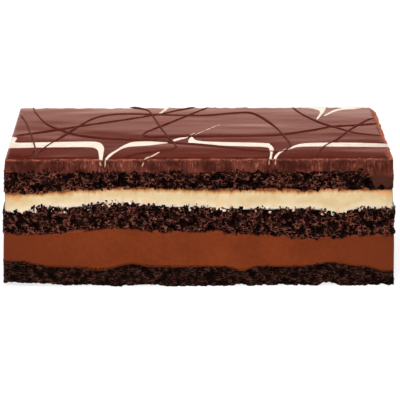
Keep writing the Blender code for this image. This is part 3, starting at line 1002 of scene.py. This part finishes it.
# Routes, each with its radius, in millimetres: (along, back) on the top and (along, up) on the
# front.
TOP_TRAILS = (
    (((-7.6, -12), (-5.2, -8), (-1.8, -2.8)), 0.34),
    (((-2.5, -8.6), (1.5, -2), (6.4, 5), (10, 10.5), (14.5, 16)), 0.3),
    (((-24.6, -44), (-29.4, -52.9), (-32, -56), (-34, -58.2)), 0.5),
)
FACE_TRAILS = (
    (((-34.2, 82.6), (-34.8, 81.3), (-35.6, 79.9)), 0.5),
    (((-61.6, 83.2), (-61.5, 81.8), (-61.1, 80.2)), 0.6),
    (((-58.3, 83.9), (-58.4, 81.6), (-58.6, 79.2)), 0.45),
    (((43.5, 83.6), (43.6, 82.2), (43.4, 80.5)), 0.5),
    (((47.5, 83.6), (47.4, 82.0), (47.2, 80.5)), 0.45),
)


def rest_on(piece, start, way):
    """The place where a line from a start first meets a piece."""
    return piece.ray_cast(Vector(start), Vector(way))[1]


ABOVE = 100 * MM
BEFORE = -90 * MM
bpy.context.view_layer.update()
trails = []
for route, radius in TOP_TRAILS:
    rest = [rest_on(ganache, (spot.x, spot.y, ABOVE), (0, 0, -1))
            for spot in smooth_route(route, 0.8 * MM)]
    trails.append(lay_thread("trail", rest, radius * MM, unevenness=0.5))
for route, radius in FACE_TRAILS:
    rest = [rest_on(ganache, (spot.x, BEFORE, spot.y), (0, 1, 0))
            for spot in smooth_route(route, 0.6 * MM)]
    trails.append(lay_thread("trail", rest, radius * MM, unevenness=0.5))
trail = join(trails, "white_trails")
material, shader, place = new_finish("smeared_white", Specular_IOR_Level=0.15)
drift = place.clouds(2.5 * MM)
colour = drift.step(0.35, 0.65).blend(paint(232, 208, 190), paint(198, 142, 112))
dress(trail, material, shader, colour, roughness=0.45, height=drift, lift=0.1 * MM)
serve(trail, "white_chocolate")

# Studio
# A white sweep under an overhead light and a soft key light from the front, with weaker boxes
# round the sides, and low cards behind the cake that only the glossy top reflects.

FLOOR_SIZE = 8
WALL_RADIUS = 3.5
WALL_HEIGHT = 6
WALL_SUNK = 0.1
BOX_SIZE = 0.8
BOX_TARGET = (0, 0, 0.04)
# The warm tints of the lights that show only as reflections in the chocolate.
SHEEN = (1.0, 0.69, 0.61)
WARM_SHEEN = (1.0, 0.6, 0.5)
SHEEN_SHARE = 0.4
CARD_BACK = 0.2


def aim(thing, place, target):
    thing.location = place
    thing.rotation_euler = (Vector(target) - Vector(place)).to_track_quat("-Z", "Y").to_euler()


def soft_light(name, place, target, width, height, power, tint=(1, 1, 1)):
    lamp = bpy.data.lights.new(name, "AREA")
    lamp.shape = "RECTANGLE"
    lamp.size = width
    lamp.size_y = height
    lamp.energy = power
    lamp.color = tint
    carrier = bpy.data.objects.new(name, lamp)
    bpy.context.scene.collection.objects.link(carrier)
    carrier.visible_camera = False
    aim(carrier, place, target)
    return carrier


def plain_finish(name, level, glow=0.0):
    """A matt neutral finish of a lightness, which may shine by itself."""
    return new_finish(name, Roughness=0.9, Specular_IOR_Level=0.0,
                      Base_Color=(level, level, level, 1),
                      Emission_Color=(1, 1, 1, 1), Emission_Strength=glow)[0]


def lay_floor(name, height, material, seen):
    """A wide floor that either only the camera sees, or only the light."""
    bpy.ops.mesh.primitive_plane_add(size=FLOOR_SIZE, location=(0, 0, height))
    floor = bpy.context.object
    floor.name = name
    floor.data.materials.append(material)
    floor.visible_camera = seen
    floor.visible_diffuse = not seen
    floor.visible_glossy = not seen
    floor.visible_shadow = not seen


lay_floor("floor", 0, plain_finish("white_sweep", level=0.35, glow=0.75), seen=True)
lay_floor("floor_bounce", -0.1 * MM, plain_finish("grey_sweep", level=0.4), seen=False)

bpy.ops.mesh.primitive_cylinder_add(radius=WALL_RADIUS, depth=WALL_HEIGHT,
                                    location=(0, 0, WALL_HEIGHT / 2 - WALL_SUNK))
wall = bpy.context.object
wall.name = "wall"
wall.data.materials.append(plain_finish("lit_wall", level=0.0, glow=1.0))
wall.visible_diffuse = False
wall.visible_glossy = False
wall.visible_shadow = False

world = bpy.data.worlds.new("studio")
world.use_nodes = True
background = world.node_tree.nodes["Background"]
background.inputs["Color"].default_value = (1, 1, 1, 1)
background.inputs["Strength"].default_value = 0.03
bpy.context.scene.world = world

soft_light("overhead", (0, 0.1, 1.5), (0, 0, 0), width=1.0, height=1.0, power=13.2)
soft_light("key_box", (-0.3, -1.0, 1.0), BOX_TARGET, width=0.5, height=0.5, power=15)
# Each side box lights the cake, and a weaker warm twin just before it is what the top mirrors.
for name, place, power in (("right_box", (1.1, -1.0, 0.7), 5),
                           ("back_left_box", (-1.1, 1.0, 0.8), 7),
                           ("back_right_box", (1.1, 1.0, 0.8), 5)):
    box = soft_light(name, place, BOX_TARGET, BOX_SIZE, BOX_SIZE, power)
    box.visible_glossy = False
    nearer = [0.97 * value for value in place]
    twin = soft_light(f"{name}_sheen", nearer, BOX_TARGET, BOX_SIZE, BOX_SIZE,
                      power * SHEEN_SHARE, SHEEN)
    twin.visible_diffuse = False
for name, low, high, level, tint in (("back_card", 0.0, 0.128, 4.8, SHEEN),
                                     ("back_card_top", 0.128, 0.150, 2.6, WARM_SHEEN)):
    height = (low + high) / 2
    card = soft_light(name, (0, CARD_BACK, height), (0, 0, height), BOX_SIZE, high - low,
                      level * (high - low), tint)
    card.rotation_euler.rotate_axis("Z", math.radians(-1.5))
    card.visible_diffuse = False

LENS = 161.0
TILT = math.radians(18.9)
TURN = math.radians(0.62)
AWAY = 1.182
TARGET = Vector((0.00115, 0, 0.03746))
lens = bpy.data.cameras.new("camera")
lens.sensor_width = 36
lens.lens = LENS
camera = bpy.data.objects.new("camera", lens)
bpy.context.scene.collection.objects.link(camera)
bpy.context.scene.camera = camera
ahead = Vector((math.sin(TURN) * math.cos(TILT), math.cos(TURN) * math.cos(TILT),
                -math.sin(TILT)))
aim(camera, TARGET - ahead * AWAY, TARGET)
bpy.context.scene.view_settings.view_transform = "Standard"
